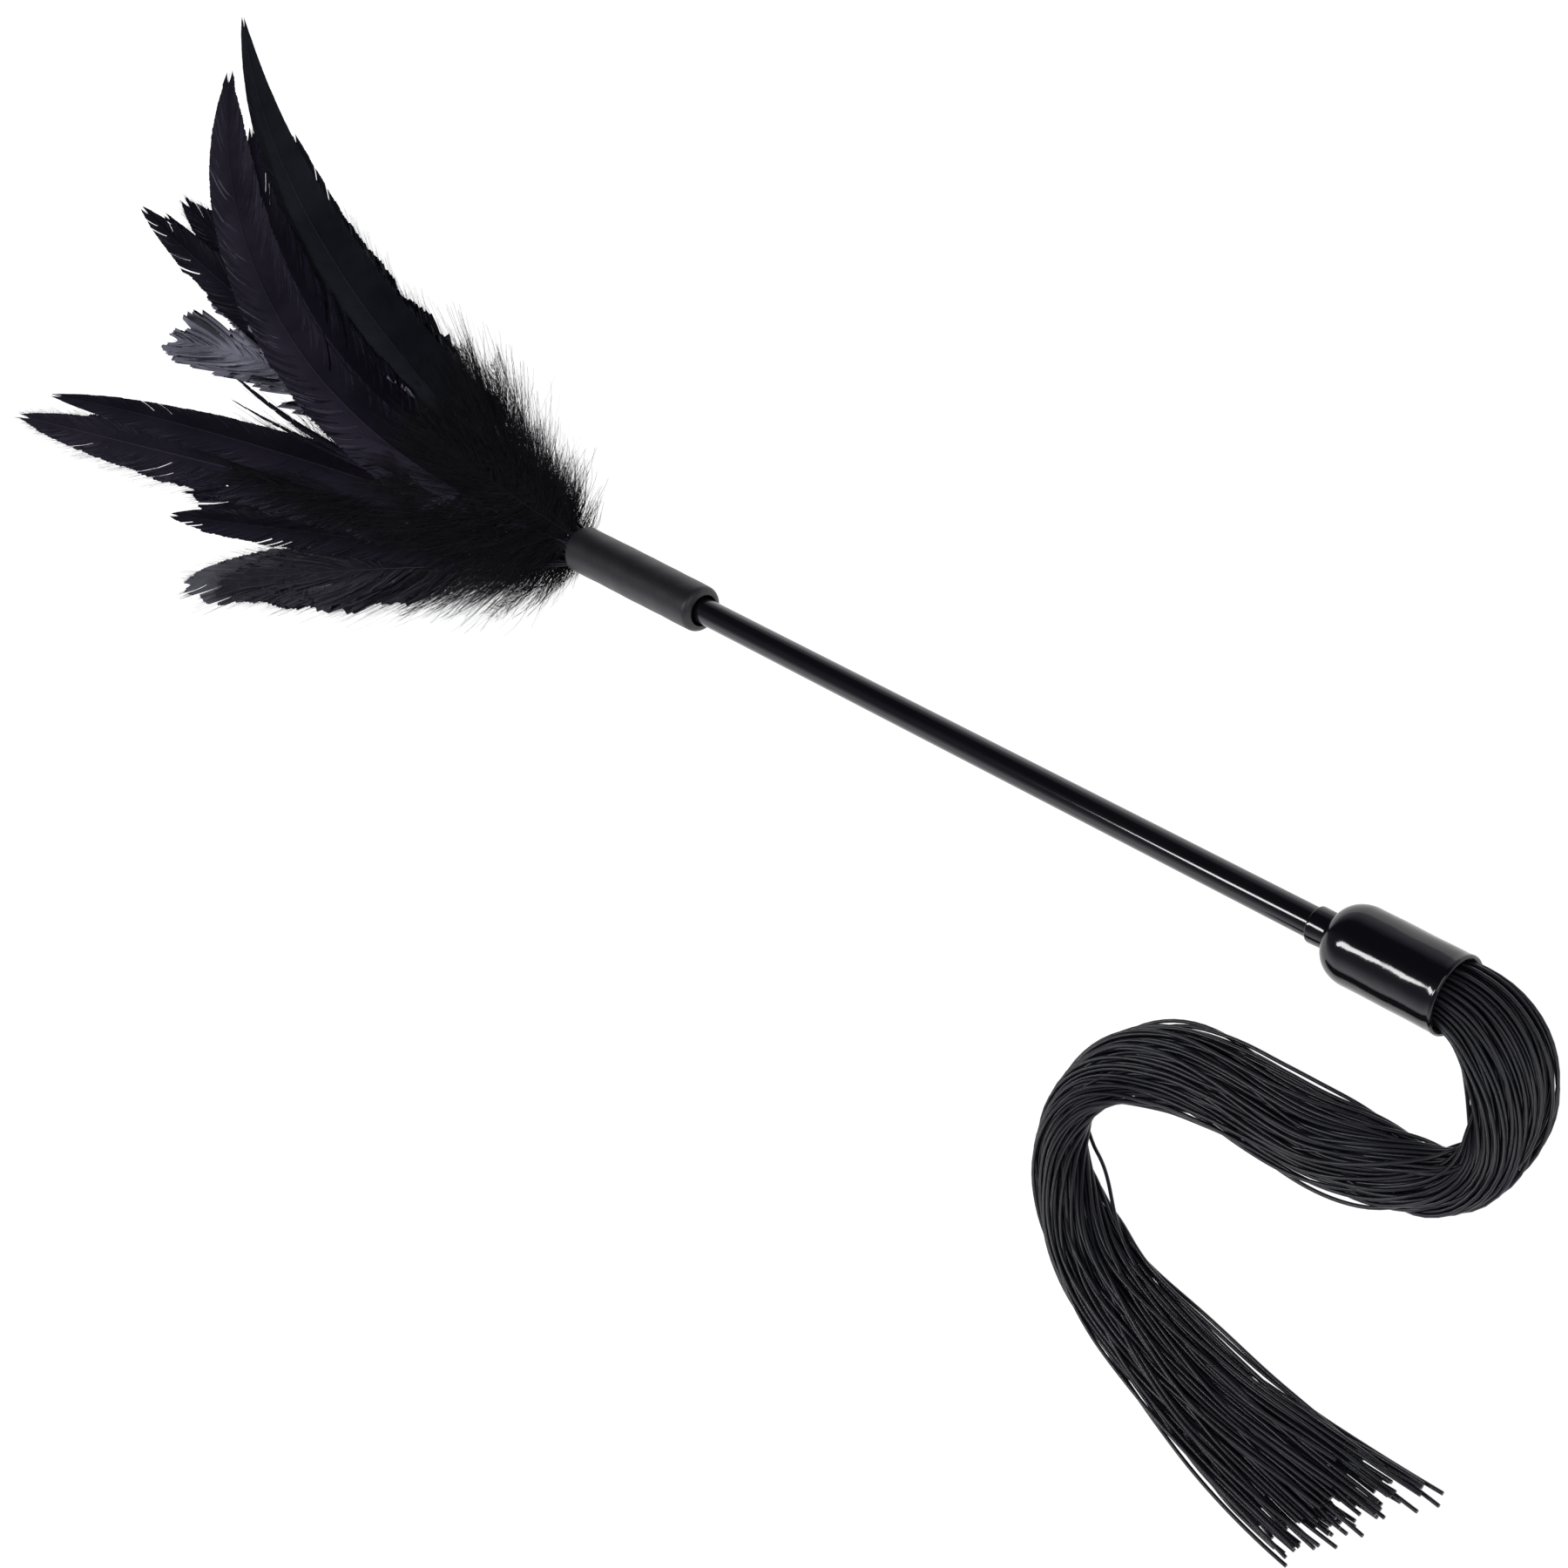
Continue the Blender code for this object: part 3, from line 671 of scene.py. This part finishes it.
def layer_height(beyond, side, layer):
    """Each layer of feathers is a surface of its own, over the one below and lower at the sides and tips."""
    lowest = 0.0007 + 0.0047 * np.exp(-np.maximum(beyond, 0) / 0.045)
    highest = 0.0150 + 0.31 * beyond - 0.47 * beyond ** 2
    dome = 1 - 0.12 * (side / 0.1) ** 2
    return lowest + layer / (LAYERS - 1) * (highest - lowest) * dome


class Shaft:
    """Course of a feather's shaft seen from above, from the sleeve to the tip."""

    def __init__(self, shape, blunt=5.0, grow=(0.008, 0.055)):
        self.blunt, self.grow = blunt, grow
        self.reach, self.tip, _, self.half, self.bend, self.quill = (value * MM for value in shape)
        self.layer = shape[2]

    def at(self, share):
        beyond = 2 * (1 - share) * share * 0.6 * self.reach + share ** 2 * self.reach
        side = (1 - share) ** 2 * self.quill + 2 * (1 - share) * share * self.bend + share ** 2 * self.tip
        return np.stack([beyond, side], axis=-1)

    def heading(self, share):
        step = 1e-3
        ahead = self.at(share + step) - self.at(share - step)
        return ahead / np.linalg.norm(ahead, axis=-1, keepdims=True)

    def width(self, share):
        beyond = self.at(share)[..., 0]
        grown = smooth_step(self.grow[0], min(self.grow[1], 0.5 * self.reach), beyond)
        return self.half * grown * (1 - np.clip(share, 0, 1) ** self.blunt) ** 0.8

    def place(self, plan, lift=0.0):
        """Points over the plan, in the frame of the model."""
        beyond, side = plan[..., 0], plan[..., 1]
        height = np.maximum(layer_height(beyond, side, self.layer) + lift, 0.0004)
        return np.stack([MOUTH_X + SLEEVE_FAR - beyond, AXIS_Y + side, height], axis=-1)


def strips(paths, widths, tilt):
    """Points and faces of flat strips, one along each path. tilt turns each strip about its own length."""
    ahead = np.gradient(paths, axis=1)
    ahead /= np.linalg.norm(ahead, axis=2, keepdims=True) + 1e-12
    across = np.cross(ahead, (0, 0, 1.0))
    across /= np.linalg.norm(across, axis=2, keepdims=True) + 1e-12
    over = np.cross(across, ahead)
    lean = np.cos(tilt)[:, None, None] * across + np.sin(tilt)[:, None, None] * over
    edges = np.stack([paths - lean * widths[..., None] / 2, paths + lean * widths[..., None] / 2], axis=2)
    number, steps = paths.shape[:2]
    first = (np.arange(number)[:, None] * steps + np.arange(steps - 1)[None, :]) * 2
    quads = np.stack([first, first + 1, first + 3, first + 2], axis=-1).reshape(-1, 4)
    return edges.reshape(-1, 3), quads


def rachis(shaft, thick, sides=6):
    """Tapered tube along the shaft, with its quill straight on into the sleeve, as deep as the glue plug."""
    share = np.linspace(0, 0.985, 48)
    path = shaft.place(shaft.at(share), 0.15 * MM)
    quill = np.repeat(path[:1], 5, axis=0)
    quill[:, 0] += np.linspace(QUILL_DEPTH, 1.0 * MM, 5)
    path = np.vstack([quill, path])
    ahead = np.gradient(path, axis=0)
    ahead /= np.linalg.norm(ahead, axis=1, keepdims=True)
    level = np.cross(ahead, (0, 0, 1.0))
    level /= np.linalg.norm(level, axis=1, keepdims=True)
    over = np.cross(level, ahead)
    out = np.concatenate([np.zeros(len(quill)), np.linspace(0, 1, len(share))])
    radius = thick * (1 - 0.88 * out ** 0.8)
    angle = np.linspace(0, 2 * math.pi, sides, endpoint=False)
    ring = level[:, None] * np.cos(angle)[None, :, None] + over[:, None] * np.sin(angle)[None, :, None]
    points = (path[:, None] + ring * radius[:, None, None]).reshape(-1, 3)
    first = np.arange(len(path) - 1)[:, None] * sides
    step = np.arange(sides)[None, :]
    after = (step + 1) % sides
    quads = np.stack([first + step, first + after, first + sides + after, first + sides + step], axis=-1)
    return points, quads.reshape(-1, 4)


def clumps(number, draw, small, large):
    """For each barb the index of the middle barb of its clump: barbs of a clump cling together."""
    edges = [0]
    while edges[-1] < number:
        edges.append(edges[-1] + int(draw.integers(small, large)))
    edges = np.array(edges)
    home = np.searchsorted(edges, np.arange(number), side="right") - 1
    return (edges[home] + edges[home + 1]) / 2, home


def barbs(shaft, side, draw, spacing=0.45 * MM, downy=0.050, ragged=0.04, camber=0.22, lean=(60, 27, 17),
          cling=0.75, comb=0.35, flutter=0.06, ridge=0.025, clump=(8, 42), gather=0.5):
    """One vane: a strip for each barb. Near the quill barbs are loose; beyond they hook into a flat vane.

    downy is where the loose part ends, in metres beyond the sleeve. ragged is how uneven the edge is, cling
    how hard neighbours pull together, comb how far the barbs' tips stand apart, and clump how many cling.
    """
    number = int(shaft.reach * 0.92 / spacing)
    start = np.clip(np.linspace(0.05, 0.97, number) + draw.uniform(-0.3, 0.3, number) / number, 0.02, 0.975)
    root = shaft.at(start)
    ahead = shaft.heading(start)
    out_way = np.stack([-ahead[:, 1], ahead[:, 0]], axis=-1) * side
    loose = 1 - smooth_step(0.65 * downy, 1.15 * downy, root[:, 0] + draw.uniform(-0.006, 0.006, number))
    angle = np.radians(np.interp(start, [0.1, 0.35, 0.95], lean))
    middle, home = clumps(number, draw, *clump)
    clump_turn = draw.normal(0, 1, home.max() + 1)[home]
    gain = np.maximum(shaft.width(start), 0.3 * shaft.half) / np.tan(angle) / shaft.reach
    left_over = 1 - start
    end = 1 - left_over * np.maximum(0.22, 1 - gain / left_over)
    out = shaft.width(end) * (1 + ragged * draw.uniform(-1, 0.8, number) + 0.7 * ragged * clump_turn)
    out *= 1 + loose * draw.uniform(-0.2, 0.45, number)
    forward = (end - start) * shaft.reach
    forward *= 1 + 0.003 * draw.normal(0, 1, number) + 0.4 * ragged * clump_turn
    forward *= 1 + loose * (0.25 * draw.normal(0, 1, number) + 0.2 * clump_turn)
    v = np.linspace(0, 1, BARB_POINTS)[None, :]
    offset = out[:, None] * (1.3 * v - 0.3 * v ** 2)
    go = forward[:, None] * (0.62 * v + 0.38 * v ** 2)
    split_from = draw.uniform(0.35, 0.85, home.max() + 1)[home][:, None]
    strength = (cling * draw.uniform(0.0, 1.0, home.max() + 1) ** 6)[home][:, None]
    strength = np.maximum(strength, gather * loose[:, None])
    spacing_here = shaft.reach * 0.92 / number
    go += strength * (middle - np.arange(number))[:, None] * spacing_here * smooth_step(split_from, 1.15, v)
    wave = smooth_noise(np.arange(number)[:, None] * 0.7, v * 3 + 3, int(draw.integers(1e6)))
    offset += wave * loose[:, None] * v * 0.55 * MM
    plan = root[:, None] + ahead[:, None] * go[..., None] + out_way[:, None] * offset[..., None]
    bow = -camber * offset * np.abs(offset / shaft.half) ** 0.5 * (1 - loose[:, None] * 0.6)
    shake = smooth_noise(np.arange(number)[:, None] * 0.35 + 7, v * 3, int(draw.integers(1e6)))
    lift = bow + shake * v * (flutter * MM + 1.5 * MM * loose[:, None])
    lift = lift + ridge * MM * draw.normal(0, 1, number)[:, None] * v
    paths = shaft.place(plan, lift)
    hooked = (loose[1:] < 0.5) & (loose[:-1] < 0.5)
    parted = (home[1:] != home[:-1]) & (np.maximum(strength[1:, 0], strength[:-1, 0]) > 0.14)
    webbed = hooked[:, None] & (~parted[:, None] | (v[:, 1:] < np.minimum(split_from[1:], split_from[:-1])))
    barb = (np.arange(number - 1)[:, None] * BARB_POINTS + np.arange(BARB_POINTS - 1)[None, :])[webbed]
    web = np.stack([barb, barb + BARB_POINTS, barb + BARB_POINTS + 1, barb + 1], axis=-1)
    if side < 0:
        web = web[:, ::-1]
    slant = np.sin(np.arctan2(out, forward + 1e-6))[:, None]
    full = spacing_here * slant * BARB_COVER * (1 - comb * v ** 3)
    fine = 0.20 * MM * (1 - 0.65 * v)
    widths = np.maximum(full * (1 - loose[:, None]) + fine * loose[:, None], 0.05 * MM)
    tilt = draw.normal(0, 0.5, number) * loose
    stretch = 1 + (0.02 + 0.42 * comb * draw.uniform(0, 1, (number, 1)) ** 2) * v ** 3
    longer = paths[:, :1] + (paths - paths[:, :1]) * stretch[..., None]
    longer[..., 2] = np.maximum(longer[..., 2] + 0.02 * MM, 0.0004)
    separate = (comb > 0.4) | (loose > 0.3)
    return [(paths.reshape(-1, 3), web), strips(longer[separate], widths[separate], tilt[separate])]


def joined(name, parts, material):
    points, faces, base = [], [], 0
    for part_points, part_faces in parts:
        points.append(part_points)
        faces.append(part_faces + base)
        base += len(part_points)
    piece = mesh_object(name, np.vstack(points), [np.vstack(faces)], material)
    return piece


def make_plume(name, shape, material, seed, blunt=5.0, **options):
    draw = np.random.default_rng(seed)
    shaft = Shaft(shape, blunt)
    parts = barbs(shaft, -1, draw, **options) + barbs(shaft, 1, draw, **options)
    parts.append(rachis(shaft, 0.035 * shaft.half + 0.1 * MM))
    return joined(name, parts, material)


def make_down(node, shape, material, seed, number, spread):
    """A tuft of small loose feathers about one of the CAD down feathers."""
    draw = np.random.default_rng(seed)
    parts = []
    for _ in range(number):
        reach, tip, layer, half, bend, quill = shape
        drift = np.clip(draw.normal(0, spread), -1.4 * spread, 1.4 * spread)
        small = (reach * draw.uniform(0.65, 1.15), tip + drift,
                 np.clip(layer + draw.uniform(-1.2, 0.7), 0, TOP_LAYER),
                 half * draw.uniform(0.8, 1.15), bend + drift * 0.5, quill)
        shaft = Shaft(small, grow=(-0.012, 0.024))
        for side in (-1, 1):
            parts.append(barbs(shaft, side, draw, spacing=0.42 * MM, downy=0.4, ragged=0.30, camber=0.05,
                               lean=(54, 36, 18), clump=(5, 20), gather=0.85)[1])
        parts.append(rachis(shaft, 0.22 * MM, sides=5))
    piece = joined(node + "_tuft", parts, material)
    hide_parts(node)


def make_feathers():
    thin = plume_finish("plume_thin_grey", (0.035, 0.034, 0.042), (0.200, 0.197, 0.225), (0.9, 0.9, 1.0), 0.4)
    plain = plume_finish("plume_black", (0.0020, 0.0016, 0.0032), (0.0095, 0.0080, 0.0130),
                         (0.70, 0.58, 1.0), 0.22)
    violet = plume_finish("plume_violet_satin", (0.0020, 0.0016, 0.0034), (0.0230, 0.0195, 0.0310),
                          (0.74, 0.64, 1.0), 0.42)
    green = plume_finish("plume_green_satin", (0.0030, 0.0034, 0.0050), (0.0150, 0.0172, 0.0215),
                         (0.64, 0.70, 0.84), 0.34)
    dusty = plume_finish("plume_dusty_black", (0.0080, 0.0076, 0.0100), (0.0460, 0.0440, 0.0550),
                         (0.85, 0.82, 1.0), 0.50)
    # grey satin feathers, partly their own grey and partly a painted highlight: the colour is lifted far
    # above the other plumes to stand in for the light they catch
    grey = plume_finish("plume_grey_satin_painted_highlight", (0.085, 0.083, 0.110), (0.340, 0.336, 0.410),
                        (0.9, 0.9, 1.0), 0.8)
    looks = {"banded_plume": violet, "long_left_plume": violet, "top_plume": green, "inner_edge_plume": green,
             "curled_satin_plume": grey, "satin_second_plume": grey, "second_top_plume": green,
             "thin_low_plume": thin, "rounded_plume": dusty, "lowest_plume": dusty, "low_side_plume": dusty}
    options = {
        "banded_plume": {"blunt": 9.0, "downy": 0.045, "ridge": 0.012, "flutter": 0.03, "cling": 0.5},
        "top_plume": {"blunt": 2.0, "downy": 0.05, "cling": 0.10, "ragged": 0.004},
        "second_top_plume": {"cling": 0.3, "ragged": 0.02, "blunt": 3.0},
        "behind_banded_plume": {"cling": 0.2, "ragged": 0.02, "blunt": 4.0},
        "behind_top_plume": {"cling": 0.2, "ragged": 0.02, "blunt": 4.0},
        "between_plume": {"blunt": 3.0, "downy": 0.05},
        "thin_low_plume": {"blunt": 12.0, "downy": 0.06, "ragged": 0.10, "cling": 1.0, "comb": 0.9},
        "forked_left_plume": {"blunt": 2.6, "cling": 0.35, "ragged": 0.02},
        "paired_plume": {"blunt": 3.0},
        "pale_plume": {"blunt": 6.0, "ragged": 0.08, "comb": 0.6},
        "low_fringe_plume": {"blunt": 8.0, "downy": 0.060, "ragged": 0.15, "cling": 1.0, "comb": 0.75},
        "lowest_plume": {"blunt": 9.0, "downy": 0.060, "ragged": 0.12, "cling": 1.0, "comb": 0.9},
        "rounded_plume": {"downy": 0.075, "ragged": 0.2, "cling": 1.0, "comb": 0.8},
        "long_left_plume": {"blunt": 3.5, "downy": 0.08, "ragged": 0.05, "comb": 1.0, "cling": 0.35},
        "left_fill_plume": {"downy": 0.09, "ragged": 0.2, "comb": 0.7},
        "inner_edge_plume": {"downy": 0.08, "ragged": 0.10, "comb": 1.0, "cling": 0.8},
        "inner_fill_plume": {"downy": 0.09, "ragged": 0.2, "comb": 0.7},
        "curled_satin_plume": {"blunt": 14.0, "ragged": 0.22, "cling": 1.0, "camber": -0.45, "flutter": 0.5},
        "satin_second_plume": {"blunt": 14.0, "ragged": 0.22, "cling": 1.0, "camber": -0.40, "flutter": 0.5},
        "wisp_long": {"downy": 0.01, "blunt": 2.0}, "wisp_short": {"downy": 0.01, "blunt": 2.0},
        "low_side_plume": {"downy": 0.075, "ragged": 0.2, "cling": 1.0, "comb": 0.8},
        "low_inner_plume": {"downy": 0.08, "ragged": 0.2, "comb": 0.8},
    }
    for seed, (node, shape) in enumerate(PLUMES.items()):
        look = looks.get(node, plain)
        piece = make_plume(node + "_vanes", shape, look, 101 + seed, **options.get(node, {}))
        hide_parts(node)
    for seed, (name, shape) in enumerate(EXTRA_PLUMES.items()):
        make_plume(name, shape, looks.get(name, plain), 201 + seed, **options.get(name, {}))
    down = down_finish()
    tufts = {  # number of small feathers, spread of their tips in mm
        "down_under_tail": (5, 7), "down_under_side": (7, 8), "down_low_inner": (5, 5),
        "down_middle": (7, 10), "down_inner_edge": (9, 6), "down_top_left": (9, 11), "down_top": (10, 9)}
    for seed, (node, shape) in enumerate(DOWNS.items()):
        make_down(node, shape, down, 301 + seed, *tufts[node])


make_camera()
make_stage()
make_rod(rod_finish())
make_cap(vinyl_finish())
make_sleeve(sleeve_finish())
finish_hidden_nodes()
make_strands(strand_finish())
make_feathers()
